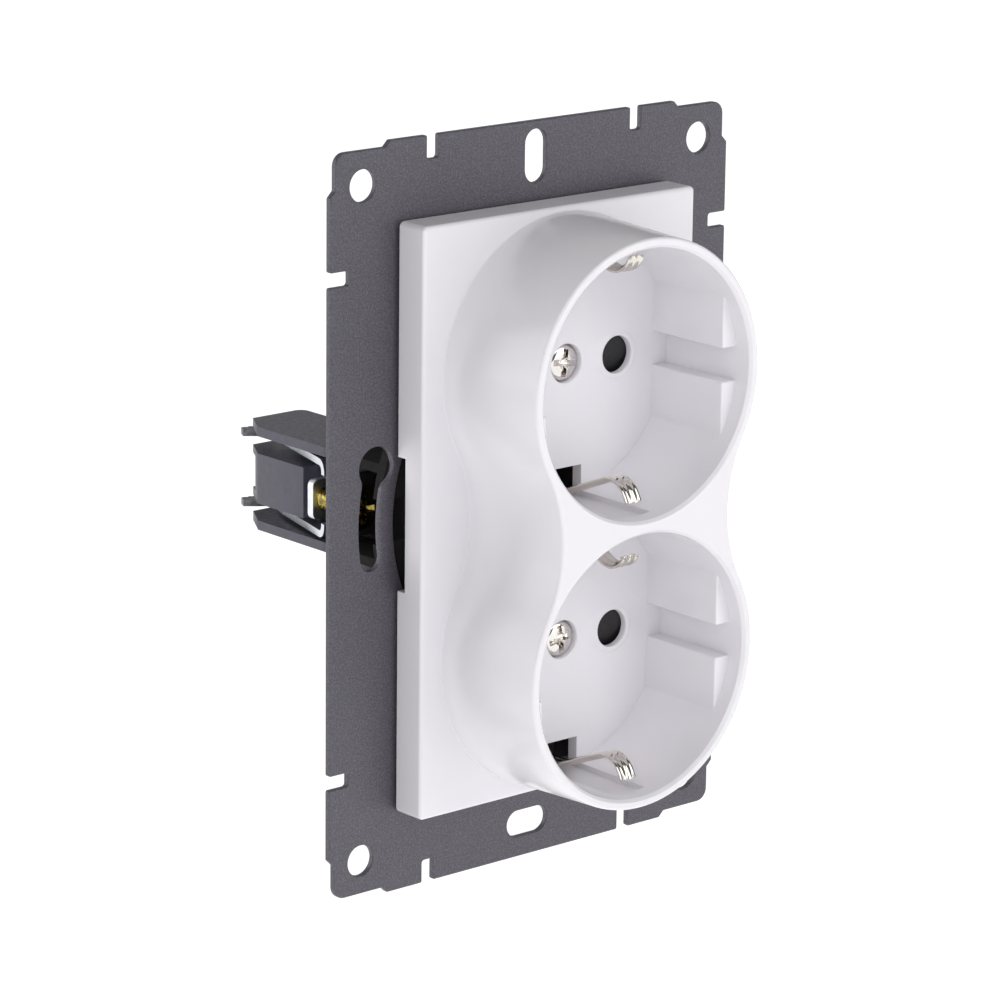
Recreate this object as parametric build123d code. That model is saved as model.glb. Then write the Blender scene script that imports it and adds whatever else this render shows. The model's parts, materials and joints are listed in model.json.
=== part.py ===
from build123d import *
from math import cos, radians, sin
import os

# Duplex earthed socket outlet with side earth clips. Millimetres.
# X runs to the right, Y runs into the wall, and Z is up. The origin is the centre of the
# mounting plate's back face, so the wall plane is y = 0 and the face of the outlet is at -Y.

# Mounting plate
PLATE_WIDTH = 74.0
PLATE_HEIGHT = 108.7
PLATE_THICK = 1.0
RELIEF = 0.9  # the corner zones are set back by this on both edges
RELIEF_X = 27.3
RELIEF_Z = 48.3
PLATE_CORNER_R = 1.8
OPENING_R = 25.7
NOTCH_WIDTH = 2.1
NOTCH_DEPTH = 3.35
NOTCH_X = 18.9
NOTCH_Z = 36.0
CORNER_HOLE_R = 2.3
CORNER_HOLE_X = 31.3
CORNER_HOLE_Z = 48.55
BOX_SCREW_R = 30.0  # half of the 60 mm spacing of the box screws
SLOT_WIDTH = 3.65
KEYHOLE_R = 3.0
KEYHOLE_ANGLE = 16.5
SLOT_END_ANGLE = 8.5
LONG_SLOT_Z = 49.3
LONG_SLOT = 7.7
LONG_SLOT_WIDTH = 4.0

# Sockets: the cover and the contacts sit a little above the plate's centre
RISE = 0.3
SOCKET_Z = (RISE + 20.3, RISE - 20.3)
PIN_X = 9.5

# Front cover
COVER_WIDTH = 50.6
COVER_HEIGHT = 85.4
COVER_CORNER_R = 0.8
COVER_BACK_Y = -1.5
COVER_FRONT_Y = -6.87
RIM_Y = -25.5
FLOOR_Y = -8.1
FLOOR_THICK = 1.8
COVER_WALL = 1.8
CUP_BASE_R = 21.6
CUP_RIM_R = 20.8
RECESS_R = 19.2
RIM_CHAMFER = 0.45
WAIST_X = 37.45  # centre of the concave arc that blends the two cups
WAIST_BASE_R = 21.0
WAIST_RIM_R = 21.8
RIB_X = 16.45
RIB_Z = (2.45, 10.3)
RIB_FRONT_Y = -22.65
WINDOW_HALF = 3.1
WINDOW_REACH = (15.1, 19.85)
CHANNEL_REACH = 17.0  # the clip channel in the cup's wall starts inside the recess
UNDERSIDE_R = 20.0
PIN_HOLE_R = 2.7
PIN_WALL = 0.9
SEAT_R = 2.8  # counterbore of the cover screw
SCREW_BORE_R = 1.7
COVER_SCREW_HEAD_R = 2.6
COVER_SCREW_R = 1.45

# Shutters
SHUTTER_FRONT_Y = -7.1
SHUTTER_HUB_Y = -6.2
SHUTTER_BACK_Y = -4.8
SHUTTER_REACH = 13.2
SHUTTER_HALF_ANGLE = 20
SHUTTER_TURN = 38
SHUTTER_SLOPE = 14  # a pin pressing on both slopes turns the shutter aside
BLADE_INNER_R = 5.9
HUB_BOSS_R = 4.2
HUB_R = 6.3
SPRING_R = 5.3
SPRING_LEG_R = 0.17

# Insulator, earth strap and their fasteners
INSULATOR_Y = (-4.7, -2.3)
INSULATOR_SIZE = (41.0, 59.0)
STRAP_Y = (-2.2, -1.0)
STRAP_WIDTH = 8.0
STRAP_LENGTH = 79.8
STRAP_RIVET = (2.6, 31.1)  # across, and above or below the cover's centre
CLIP_RIVET_REACH = 14.6
CLAMP_SCREW_X = 15.6
CLAMP_SCREW_DZ = 12.0

# Housing
HOUSING_R = 27.4
HOUSING_HALF = 18.3
HOUSING_WALL = 1.3
HOUSING_BACK_Y = 21.5
FLANGE_Y = (0.05, 1.6)
BACK_SCREW = (13.4, -19.9)
MOUTH_R = 24.6
HEAD_GAP_X = (20.5, 28.0)  # gaps in the flange that let a driver reach the claw screws
HEAD_GAP_HALF = 3.3
PARTITION_X = (5.25, 6.15)  # walls between neighbouring terminals

# Claw guide towers
TOWER_X = (13.0, 25.0)
TOWER_END_Y = 35.5
TOWER_CHAMFER = (2.8, 4.8)
WING_Z = (6.3, 7.7)
BLOCK_Z = 3.75
BLOCK_Y = 20.1
END_POCKET = (2.2, 2.6)  # depth and half height of the hollow in the block's end
SHELF_Y = (9.4, 11.2)
SHELF_REACH = 27.2
SHELF_HALF = 4.4

# Claws
CLAW_SCREW_X = 24.2
CLAW_SCREW_R = 1.7
CLAW_SCREW_HEAD_R = 3.1
CLAW_SCREW_END_Y = 17.3
CLAW_NUT_Y = (15.8, 17.0)
CLAW_PIVOT = (22.0, 16.4)
CLAW_ARM_Z = (4.8, 5.8)
CLAW_BEND_Y = 15.4
CLAW_TIP_Y = 38.2

# Contacts and terminals
BAR_Y = (11.4, 12.2)
BAR_HALF = 3.3
LEAF_HALF = 1.8
TERMINAL_X = 11.4
TERMINAL_Y = 16.1
TAIL_Z = (12.0, 12.8)
TAIL_HALF = 3.4
TAIL_END_Y = 19.4
TERMINAL_SCREW_R = 1.7
TERMINAL_HEAD_R = 2.8
WIRE_DX = 2.2
WIRE_Z = 9.5
WIRE_HOLE_R = 1.8

RUN = 0.05  # radial clearance of a screw in its thread or bearing


def box_at(x, y, z):
    """A block from the low and high limits along each axis."""
    size = [high - low for low, high in (x, y, z)]
    middle = [(high + low) / 2 for low, high in (x, y, z)]
    return Pos(*middle) * Box(*size)


def rod_y(x, z, radius, y):
    """A round bar along Y between two depths."""
    return Pos(x, sum(y) / 2, z) * Rot(90, 0, 0) * Cylinder(radius, y[1] - y[0])


def rod_z(x, y, radius, z):
    """A round bar along Z between two heights."""
    return Pos(x, y, sum(z) / 2) * Cylinder(radius, z[1] - z[0])


def slab(sketch, y):
    """A sketch in X and Z, given thickness between two depths."""
    return extrude(Plane((0, y[1], 0), (1, 0, 0), (0, -1, 0)) * sketch, y[1] - y[0], dir=(0, -1, 0))


def sheet_z(sketch, z):
    """A sketch in X and Y, given thickness between two heights."""
    return extrude(Plane.XY.offset(z[0]) * sketch, z[1] - z[0], dir=(0, 0, 1))


def mirror_x(shape):
    return mirror(shape, Plane.YZ)


def save(shape, node):
    export_step(shape, f"parts/{node}.step")


def cross_recess(x, z, top_y, reach, depth=1.0, width=0.9):
    """A cross-shaped driver recess, open toward -Y."""
    y = (top_y - 0.1, top_y + depth)
    arm = box_at((x - reach, x + reach), y, (z - width / 2, z + width / 2))
    post = box_at((x - width / 2, x + width / 2), y, (z - reach, z + reach))
    return arm + post


def pan_screw(x, z, head_r, head_y, shank_r, tip_y):
    """A cross-recessed pan-head screw along Y with its head toward -Y."""
    head = rod_y(x, z, head_r, head_y)
    rim = head.edges().filter_by(GeomType.CIRCLE).sort_by(Axis.Y)[0]
    head = fillet(rim, 0.6)
    shank = chamfer(rod_y(x, z, shank_r, (head_y[1], tip_y)).edges().sort_by(Axis.Y)[-1], 0.4)
    return head + shank - cross_recess(x, z, head_y[0], head_r * 0.62)


def rivet(x, z, y, head_r=1.7, shank_r=1.0, foot_r=None, head=0.6):
    """A rivet along Y: a head at -Y and, unless it is flush, a foot at +Y."""
    body = rod_y(x, z, shank_r, y) + rod_y(x, z, head_r, (y[0], y[0] + head))
    if foot_r:
        body += rod_y(x, z, foot_r, (y[1] - head, y[1]))
    return body


# ---- mounting plate ----

def strap_rivet_places():
    x, dz = STRAP_RIVET
    return [(side * x, RISE + level * dz) for side in (-1, 1) for level in (-1, 1)]


def plate_outline():
    w, h = PLATE_WIDTH / 2, PLATE_HEIGHT / 2
    corner = [(RELIEF_X - RELIEF, h), (RELIEF_X, h - RELIEF), (w - RELIEF, h - RELIEF),
              (w - RELIEF, RELIEF_Z), (w, RELIEF_Z - RELIEF)]
    points = corner + [(x, -z) for x, z in reversed(corner)]
    points += [(-x, -z) for x, z in corner] + [(-x, z) for x, z in reversed(corner)]
    face = Polygon(*points, align=None)
    tips = [v for v in face.vertices() if abs(v.X) > w - 1.1 * RELIEF and abs(v.Y) > h - 1.1 * RELIEF]
    return fillet([v for v in tips if abs(v.X) < w - 0.9 * RELIEF and abs(v.Y) < h - 0.9 * RELIEF],
                  PLATE_CORNER_R)


def box_screw_slot(turn):
    """Arc slot for a box screw with a keyhole end that lets the screw head pass."""
    sweep = KEYHOLE_ANGLE + SLOT_END_ANGLE
    arc = CenterArc((0, 0), BOX_SCREW_R, turn - KEYHOLE_ANGLE, sweep)
    angle = radians(turn - KEYHOLE_ANGLE)
    keyhole = Pos(BOX_SCREW_R * cos(angle), BOX_SCREW_R * sin(angle)) * Circle(KEYHOLE_R)
    return SlotArc(arc, SLOT_WIDTH) + keyhole


def mounting_plate():
    w, h = PLATE_WIDTH / 2, PLATE_HEIGHT / 2
    face = plate_outline() - Circle(OPENING_R)
    for side in (-1, 1):
        for level in (-1, 1):
            edge_notch = RectangleRounded(NOTCH_WIDTH, 2 * NOTCH_DEPTH, 0.45)
            face -= Pos(side * NOTCH_X, level * h) * edge_notch
            face -= Pos(side * w, level * NOTCH_Z) * Rot(0, 0, 90) * edge_notch
            face -= Pos(side * CORNER_HOLE_X, level * CORNER_HOLE_Z) * Circle(CORNER_HOLE_R)
    for x, z in strap_rivet_places():
        face -= Pos(x, z) * Circle(1.0)
    face -= Pos(0, LONG_SLOT_Z) * Rot(0, 0, 90) * SlotOverall(LONG_SLOT, LONG_SLOT_WIDTH)
    face -= Pos(0, -LONG_SLOT_Z) * SlotOverall(LONG_SLOT, LONG_SLOT_WIDTH)
    for turn in (0, 180):
        face -= box_screw_slot(turn)
    for z in (SOCKET_Z[0] + CLIP_RIVET_REACH, SOCKET_Z[1] - CLIP_RIVET_REACH):
        face -= Pos(0, z) * Circle(1.9)
    return slab(face, (-PLATE_THICK, 0))


# ---- front cover ----

def cups_outline(cup_r, waist_r):
    """Two round cups joined by concave waist arcs, as one closed face in X and Z."""
    half = (SOCKET_Z[0] - SOCKET_Z[1]) / 2
    reach = cup_r + waist_r
    tx, tz = WAIST_X * cup_r / reach, half - half * cup_r / reach
    waist_x = WAIST_X - waist_r
    edges = [
        ThreePointArc((-tx, tz), (0, half + cup_r), (tx, tz)),
        ThreePointArc((tx, tz), (waist_x, 0), (tx, -tz)),
        ThreePointArc((tx, -tz), (0, -half - cup_r), (-tx, -tz)),
        ThreePointArc((-tx, -tz), (-waist_x, 0), (-tx, tz)),
    ]
    return Pos(0, RISE) * make_face(Wire(edges))


def wedge(reach, low, high):
    """A pie slice between two angles, wide enough to cut a disc of the given reach."""
    middle = (low + high) / 2
    rays = [(1.6 * reach * cos(radians(a)), 1.6 * reach * sin(radians(a))) for a in (low, middle, high)]
    return Polygon((0, 0), *rays, align=None)


def shutter_blades(reach, inner, low, high):
    """The two opposite blades of a shutter, as seen from the front."""
    blades = Sketch()
    for turn in (0, 180):
        blades += (Circle(reach) - Circle(inner)) & wedge(reach, low + turn, high + turn)
    return blades


def cover_socket(z):
    """What is cut from the cover at one socket, and what is then added back."""
    centre = Pos(0, z)
    cut = slab(centre * Circle(RECESS_R), (RIM_Y - 1, FLOOR_Y))
    cut += Pos(0, RIM_Y, z) * Rot(90, 0, 0) * Cone(
        RECESS_R - RIM_CHAMFER, RECESS_R + RIM_CHAMFER, 2 * RIM_CHAMFER)
    cut += slab(centre * Circle(UNDERSIDE_R), (FLOOR_Y + FLOOR_THICK, SHUTTER_BACK_Y))
    window = Rectangle(2 * WINDOW_HALF, WINDOW_REACH[1] - WINDOW_REACH[0])
    middle = sum(WINDOW_REACH) / 2
    channel = Rectangle(2 * WINDOW_HALF, WINDOW_REACH[1] - CHANNEL_REACH)
    beside = (WINDOW_REACH[1] + CHANNEL_REACH) / 2
    for side in (-1, 1):
        cut += slab(Pos(0, z + side * middle) * window, (FLOOR_Y - 0.5, SHUTTER_BACK_Y))
        cut += slab(Pos(0, z + side * beside) * channel, (RIB_FRONT_Y, FLOOR_Y))
        cut += rod_y(side * PIN_X, z, PIN_HOLE_R, (FLOOR_Y - 1, SHUTTER_BACK_Y))
    swept = (-SHUTTER_HALF_ANGLE - 2, SHUTTER_HALF_ANGLE + SHUTTER_TURN + 3)
    pocket = shutter_blades(SHUTTER_REACH + 0.35, BLADE_INNER_R - 0.3, *swept)
    cut += slab(centre * pocket, (FLOOR_Y + PIN_WALL, SHUTTER_BACK_Y))
    rib = Rectangle(RECESS_R + 0.4 - RIB_X, RIB_Z[1] - RIB_Z[0])
    ribs = Sketch()
    for side in (-1, 1):
        for level in (-1, 1):
            ribs += Pos(side * (RECESS_R + 0.4 + RIB_X) / 2, z + level * sum(RIB_Z) / 2) * rib
    ribs &= centre * Circle(RECESS_R + 0.4)
    added = slab(ribs, (RIB_FRONT_Y, FLOOR_Y + 0.1))
    added += rod_y(0, z, HUB_BOSS_R, (FLOOR_Y + 0.5, INSULATOR_Y[0] - 0.05))
    for side in (-1, 1):
        ring = rod_y(side * PIN_X, z, 3.5, (FLOOR_Y - 0.15, FLOOR_Y + 0.1))
        added += ring - rod_y(side * PIN_X, z, PIN_HOLE_R, (FLOOR_Y - 1, FLOOR_Y + 1))
    seat = rod_y(0, z, SEAT_R, (FLOOR_Y - 1, SHUTTER_HUB_Y)) + rod_y(0, z, SCREW_BORE_R, (FLOOR_Y, 0))
    return cut, added, seat


def front_cover():
    outline = Pos(0, RISE) * RectangleRounded(COVER_WIDTH, COVER_HEIGHT, COVER_CORNER_R)
    base = slab(outline, (COVER_FRONT_Y, COVER_BACK_Y))
    base = fillet(base.faces().sort_by(Axis.Y)[0].edges(), 0.6)
    inside = Rectangle(COVER_WIDTH - 2 * COVER_WALL, COVER_HEIGHT - 2 * COVER_WALL)
    base -= slab(Pos(0, RISE) * inside, (COVER_FRONT_Y + 2.0, COVER_BACK_Y + 1))
    low = Plane((0, COVER_FRONT_Y + 0.5, 0), (1, 0, 0), (0, -1, 0)) * cups_outline(CUP_BASE_R, WAIST_BASE_R)
    high = Plane((0, RIM_Y, 0), (1, 0, 0), (0, -1, 0)) * cups_outline(CUP_RIM_R, WAIST_RIM_R)
    cover = base + loft([low, high], ruled=True)
    sockets = [cover_socket(z) for z in SOCKET_Z]
    for cut, _, _ in sockets:
        cover -= cut
    for _, added, seat in sockets:
        cover = cover + added - seat
    for side in (-1, 1):
        edge = side * COVER_WIDTH / 2
        cover -= box_at(sorted((edge - side * 2.2, edge + side)), (-3.15, 0), (-9.7, 9.7))
    return cover


# ---- shutters ----

def shutter(z):
    """Rotary shutter: two sloped blades on a hub that turns on the cover's screw boss."""
    ring = Circle(HUB_R) - Circle(HUB_BOSS_R + 0.1)
    body = slab(ring, (SHUTTER_HUB_Y, SHUTTER_BACK_Y))
    blades = shutter_blades(SHUTTER_REACH, BLADE_INNER_R, -SHUTTER_HALF_ANGLE, SHUTTER_HALF_ANGLE)
    body += slab(blades, (SHUTTER_FRONT_Y, SHUTTER_BACK_Y))
    for turn in (0, 180):
        slope = Pos(PIN_X, SHUTTER_FRONT_Y - 1.0, 0) * Rot(SHUTTER_SLOPE, 0, 0) * Box(9, 2.0, 12)
        body -= Rot(0, turn, 0) * slope
    groove = Circle(SPRING_R + 0.4) - Circle(SPRING_R - 0.4)
    body -= slab(groove, (SHUTTER_BACK_Y - 0.6, SHUTTER_BACK_Y + 0.1))
    body -= rod_y(-SPRING_R, 0, SPRING_LEG_R + 0.1, (SHUTTER_BACK_Y - 1.1, SHUTTER_BACK_Y))
    return Pos(0, 0, z) * body


def shutter_spring(z):
    """Torsion spring under the shutter's hub, one leg in the hub and one in the insulator."""
    coil_y = SHUTTER_BACK_Y - 0.3
    coil = slab(Circle(SPRING_R + 0.25) - Circle(SPRING_R - 0.25), (coil_y - 0.2, coil_y + 0.2))
    coil += rod_y(-SPRING_R, 0, SPRING_LEG_R, (coil_y - 0.7, coil_y))
    coil += rod_y(0, SPRING_R, SPRING_LEG_R, (coil_y, coil_y + 1.2))
    return Pos(0, 0, z) * coil


# ---- insulator and earth parts ----

def clamp_screw_places():
    return [(side * CLAMP_SCREW_X, RISE + level * CLAMP_SCREW_DZ) for side in (-1, 1) for level in (-1, 1)]


def front_insulator():
    width, height = INSULATOR_SIZE
    channel = Rectangle(STRAP_WIDTH + 0.8, 2 * height)
    body = slab(Pos(0, RISE) * RectangleRounded(width, height, 5.0), INSULATOR_Y)
    boss = (Circle(OPENING_R - 0.5) & Rectangle(width, 2 * height)) - channel
    body += slab(boss, (INSULATOR_Y[1] - 0.1, 0))
    body -= slab(Pos(0, RISE) * RectangleRounded(9.4, 20.0, 1.0), (-6, 1))
    for z in SOCKET_Z:
        body -= rod_y(0, z, SCREW_BORE_R, (-6, 1))
        body -= rod_y(0, z + SPRING_R, SPRING_LEG_R + 0.1, (-6, INSULATOR_Y[0] + 1.0))
        for side in (-1, 1):
            body -= rod_y(side * PIN_X, z, 2.9, (-6, 1))
    for x, z in clamp_screw_places():
        body -= rod_y(x, z, 1.3, (-6, 1)) + rod_y(x, z, 2.6, (-6, INSULATOR_Y[0] + 1.6))
    body -= rod_y(0, earth_rivet_z(), 2.0, (-3.1, -2))
    return body


def clamp_screws():
    return [pan_screw(x, z, 2.5, (INSULATOR_Y[0] + 0.1, INSULATOR_Y[0] + 1.6), 1.3, 8.0)
            for x, z in clamp_screw_places()]


def earth_rivet_z():
    return TAIL_Z[1] + 2.9


def clip_rivet_heights():
    return [z + side * CLIP_RIVET_REACH for z in SOCKET_Z for side in (-1, 1)]


def earth_strap():
    face = Pos(0, RISE) * RectangleRounded(STRAP_WIDTH, STRAP_LENGTH, 1.0)
    for z in SOCKET_Z:
        face -= Pos(0, z) * Circle(COVER_SCREW_R + RUN)
    for z in clip_rivet_heights() + [earth_rivet_z()]:
        face -= Pos(0, z) * Circle(1.0)
    for x, z in strap_rivet_places():
        face -= Pos(x, z) * Circle(1.0)
    return slab(face, STRAP_Y)


def strap_rivets():
    return [rivet(x, z, (STRAP_Y[0] - 0.5, 0), head_r=1.35, head=0.5) for x, z in strap_rivet_places()]


def clip_rivets():
    """Shouldered rivets: the clip's foot can rock under the head."""
    return [rivet(0, z, (-4.05, -0.4), foot_r=1.6) for z in clip_rivet_heights()]


def earth_clip(z, side):
    """Sprung side-contact clip: a foot on the strap, a rising arm and an out-turned lip."""
    thick = 0.7
    foot_y = STRAP_Y[0] - thick / 2
    route = [(foot_y, 12.4), (foot_y, 18.95), (-8.1, 18.75), (-19.3, 14.1), (-23.2, 17.2)]
    path = FilletPolyline(*route, radius=[0.9, 3.0, 1.6])
    arm = extrude(Plane.YZ * trace(path, thick), 1.5, both=True)
    foot = Pos(0, 14.8) * RectangleRounded(4.8, 4.8, 0.8) - Pos(0, CLIP_RIVET_REACH) * Circle(1.25)
    clip = arm + slab(foot, (STRAP_Y[0] - thick, STRAP_Y[0]))
    clip -= rod_y(0, CLIP_RIVET_REACH, 1.25, (-5, 0))
    if side < 0:
        clip = mirror(clip, Plane.XY)
    return Pos(0, 0, z) * clip


def earth_tail():
    """Angled brass strip that takes the earth from the strap to its terminal."""
    flange = box_at((-TAIL_HALF, TAIL_HALF), (STRAP_Y[1], STRAP_Y[1] + 0.8), (TAIL_Z[0], TAIL_Z[1] + 5.2))
    flange -= rod_y(0, earth_rivet_z(), 1.0, (-3, 1))
    return flange + box_at((-TAIL_HALF, TAIL_HALF), (STRAP_Y[1], TAIL_END_Y), TAIL_Z)


# ---- contacts and terminals ----

def contact_bar():
    """Live contact of the right-hand side: a bar, four spring leaves and a terminal tail."""
    low, high = SOCKET_Z[1] - LEAF_HALF, SOCKET_Z[0] + LEAF_HALF
    bar = box_at((PIN_X - BAR_HALF, PIN_X + BAR_HALF), BAR_Y, (low, high))
    bar += box_at((TERMINAL_X - TAIL_HALF, TERMINAL_X + TAIL_HALF), (BAR_Y[0], TAIL_END_Y), TAIL_Z)
    for side in (-1, 1):
        route = [(PIN_X + side * 3.0, BAR_Y[1]), (PIN_X + side * 3.0, 8.6),
                 (PIN_X + side * 2.55, 5.2), (PIN_X + side * 3.05, 2.6)]
        leaf = trace(FilletPolyline(*route, radius=1.2), 0.6)
        for z in SOCKET_Z:
            bar += sheet_z(leaf, (z - LEAF_HALF, z + LEAF_HALF))
    return bar


def terminal_clamp(x):
    """Lift clamp: a cage round the terminal tail with a threaded top."""
    y = (TERMINAL_Y - 3.1, TERMINAL_Y + 3.1)
    cage = box_at((x - 4.9, x + 4.9), y, (5.2, 16.6))
    cage -= box_at((x - 3.9, x + 3.9), (y[0] - 1, y[1] + 1), (6.3, 14.6))
    cage = fillet(cage.edges().filter_by(Axis.Y).group_by(Axis.Z)[0], 0.8)
    return cage - rod_z(x, TERMINAL_Y, TERMINAL_SCREW_R + RUN, (14, 17))


def terminal_screw(x):
    """Slotted cheese-head screw along Z that bears on the tail."""
    screw = rod_z(x, TERMINAL_Y, TERMINAL_SCREW_R, (TAIL_Z[1] + 0.05, 20.6))
    screw += rod_z(x, TERMINAL_Y, TERMINAL_HEAD_R, (20.6, 22.6))
    return screw - box_at((x - 3, x + 3), (TERMINAL_Y - 0.45, TERMINAL_Y + 0.45), (21.5, 23))


# ---- housing ----

def tower():
    """Guide for the left-hand claw: two wings above and below a block, all joined inside."""
    near, far = -TOWER_X[0], -TOWER_X[1]
    dx, dy = TOWER_CHAMFER
    end = [(far, TOWER_END_Y - dy), (far + dx, TOWER_END_Y), (near, TOWER_END_Y)]
    wing = Polygon((near, FLANGE_Y[0]), (far, FLANGE_Y[0]), *end, align=None)
    block = Polygon((near, BLOCK_Y), (far, BLOCK_Y), *end, align=None)
    corner = (near, TOWER_END_Y)
    wing, block = [fillet(p.vertices().sort_by_distance((*corner, 0))[0], 1.5) for p in (wing, block)]
    body = sheet_z(wing, WING_Z) + sheet_z(wing, (-WING_Z[1], -WING_Z[0]))
    body += sheet_z(block, (-BLOCK_Z, BLOCK_Z))
    body += box_at((near - 1.6, near), (HOUSING_BACK_Y - 1, TOWER_END_Y - 1.5), (-WING_Z[1], WING_Z[1]))
    pocket, half = END_POCKET
    body -= box_at((far - 1, near - 3), (TOWER_END_Y - pocket, TOWER_END_Y + 1), (-half, half))
    root = 0.5 - HOUSING_HALF
    shelf = Pos((root - SHELF_REACH) / 2, 0) * Rectangle(SHELF_REACH + root, 2 * SHELF_HALF)
    shelf = fillet(shelf.vertices().group_by(Axis.X)[0], 3.0)
    shelf -= Pos(-CLAW_SCREW_X, 0) * Circle(CLAW_SCREW_R + 0.1)
    return body + slab(shelf, SHELF_Y)


def housing_body():
    strip = Rectangle(2 * HOUSING_HALF, 2 * HOUSING_R)
    cavity = Circle(HOUSING_R - HOUSING_WALL) & Rectangle(2 * (HOUSING_HALF - HOUSING_WALL), 2 * HOUSING_R)
    body = slab(Circle(HOUSING_R), FLANGE_Y) + slab(Circle(HOUSING_R) & strip, (FLANGE_Y[0], HOUSING_BACK_Y))
    side = tower()
    body += side + mirror_x(side)
    body -= slab(cavity, (FLANGE_Y[1], HOUSING_BACK_Y + 0.1))
    body -= slab(Circle(MOUTH_R) & Rectangle(2 * (HOUSING_HALF - HOUSING_WALL), 60), (-1, 2))
    for sign in (-1, 1):
        gap = sorted(sign * x for x in HEAD_GAP_X)
        body -= box_at(gap, (-1, 2), (-HEAD_GAP_HALF, HEAD_GAP_HALF))
    inner = slab(cavity, (TERMINAL_Y - 3.2, HOUSING_BACK_Y - 1.5))
    for sign in (-1, 1):
        body += inner & box_at(sorted(sign * x for x in PARTITION_X), (0, 30), (4, 30))
    for x, z in clamp_screw_places():
        body += rod_y(x, z, 2.4, (FLANGE_Y[0], 11.0)) - rod_y(x, z, 1.3, (-1, 12))
        body -= rod_y(x, z, 1.3, (-1, 10.0))
    for sign in (-1, 1):
        x, z = sign * BACK_SCREW[0], BACK_SCREW[1]
        body += rod_y(x, z, 2.6, (12.9, HOUSING_BACK_Y - 1.5))
        body -= rod_y(x, z, 1.2, (13.5, HOUSING_BACK_Y))
    for x in (-TERMINAL_X, 0, TERMINAL_X):
        body -= rod_z(x, TERMINAL_Y, TERMINAL_HEAD_R + 0.3, (20.7, HOUSING_R + 1))
    return body


def housing_back():
    y = (HOUSING_BACK_Y - 1.4, HOUSING_BACK_Y)
    gap = HOUSING_WALL + 0.1
    face = Circle(HOUSING_R - gap) & Rectangle(2 * (HOUSING_HALF - gap), 2 * HOUSING_R)
    for x in (-TERMINAL_X, 0, TERMINAL_X):
        for side in (-1, 1):
            face -= Pos(x + side * WIRE_DX, WIRE_Z) * Circle(WIRE_HOLE_R)
    for side in (-1, 1):
        face -= Pos(side * BACK_SCREW[0], BACK_SCREW[1]) * Circle(1.4)
    return slab(face, y)


def back_screws():
    """Two screws from behind that hold the housing's back."""
    screws = []
    for side in (-1, 1):
        screw = pan_screw(0, 0, 2.4, (-1.5, 0), 1.2, 6.5)
        place = Pos(side * BACK_SCREW[0], HOUSING_BACK_Y, BACK_SCREW[1])
        screws.append(place * Rot(180, 0, 0) * screw)
    return screws


# ---- left-hand claw, mirrored for the right ----

def claw_screw():
    head_y = (SHELF_Y[0] - 2.0, SHELF_Y[0])
    return pan_screw(-CLAW_SCREW_X, 0, CLAW_SCREW_HEAD_R, head_y, CLAW_SCREW_R, CLAW_SCREW_END_Y)


def claw_nut():
    """Plate nut with two trunnions that the claw swings on."""
    face = RectangleRounded(6.8, 5.9, 1.0)
    y = CLAW_NUT_Y
    nut = slab(Pos(-23.25, 0) * face, y) - rod_y(-CLAW_SCREW_X, 0, CLAW_SCREW_R + RUN, (15, 18))
    return nut + rod_z(-CLAW_PIVOT[0], CLAW_PIVOT[1], 0.55, (1.5, 5.95)) + rod_z(
        -CLAW_PIVOT[0], CLAW_PIVOT[1], 0.55, (-5.95, -1.5))


def claw():
    """Two hooked arms joined by a web, with their near ends bent in toward the nut."""
    px, py = -CLAW_PIVOT[0], CLAW_PIVOT[1]
    outer = [(px - 3.5, 14.4), (px - 2.7, 17.2), (px + 0.9, 30.0), (px + 2.7, 34.2),
             (px + 0.6, 35.7), (px - 0.9, 36.9), (px - 0.3, CLAW_TIP_Y)]
    inner = [(px + 3.4, CLAW_TIP_Y - 0.6), (px + 5.6, 34.6), (px + 3.8, 24.0),
             (px + 2.8, 17.6), (px + 1.4, 14.4)]
    outline = Polygon(*outer, *inner, align=None) - Pos(px, py) * Circle(0.6)
    for step in range(3):
        tooth = Pos(px + 0.6 + 0.9 * step, CLAW_TIP_Y - 0.1 - 0.15 * step) * Rot(0, 0, 45)
        outline -= tooth * Rectangle(0.4, 0.4)
    low, high = CLAW_ARM_Z
    level = (low + high) / 2
    bend = FilletPolyline((CLAW_BEND_Y, 3.6), (CLAW_BEND_Y, level), (CLAW_TIP_Y + 1, level), radius=1.3)
    strip = extrude(Plane.YZ * trace(bend, high - low), 2 * CLAW_PIVOT[0], both=True)
    arm = strip & sheet_z(outline, (0, 2 * high))
    web = box_at((px + 0.6, px + 2.8), (18.2, 19.2), (-high, high))
    return arm + mirror(arm, Plane.XY) + web


os.makedirs("parts", exist_ok=True)

save(mounting_plate(), "mounting_plate")
save(front_cover(), "front_cover")
save(front_insulator(), "front_insulator")
save(earth_strap(), "earth_strap")
save(earth_tail(), "earth_tail")
save(rivet(0, earth_rivet_z(), (STRAP_Y[0] - 0.6, 0.4), foot_r=1.6), "earth_tail_rivet")
save(housing_body(), "housing_body")
save(housing_back(), "housing_back")
save(Compound(children=clamp_screws()), "clamp_screws")
save(Compound(children=strap_rivets()), "strap_rivets")
save(Compound(children=clip_rivets()), "clip_rivets")
save(Compound(children=back_screws()), "back_screws")

for level, z in zip(("upper", "lower"), SOCKET_Z):
    cover_screw = pan_screw(0, z, COVER_SCREW_HEAD_R, (FLOOR_Y + 0.35, SHUTTER_HUB_Y), COVER_SCREW_R, 2.5)
    save(cover_screw, f"cover_screw_{level}")
    save(shutter(z), f"shutter_{level}")
    save(shutter_spring(z), f"shutter_spring_{level}")
    save(earth_clip(z, 1), f"earth_clip_{level}_top")
    save(earth_clip(z, -1), f"earth_clip_{level}_bottom")

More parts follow.
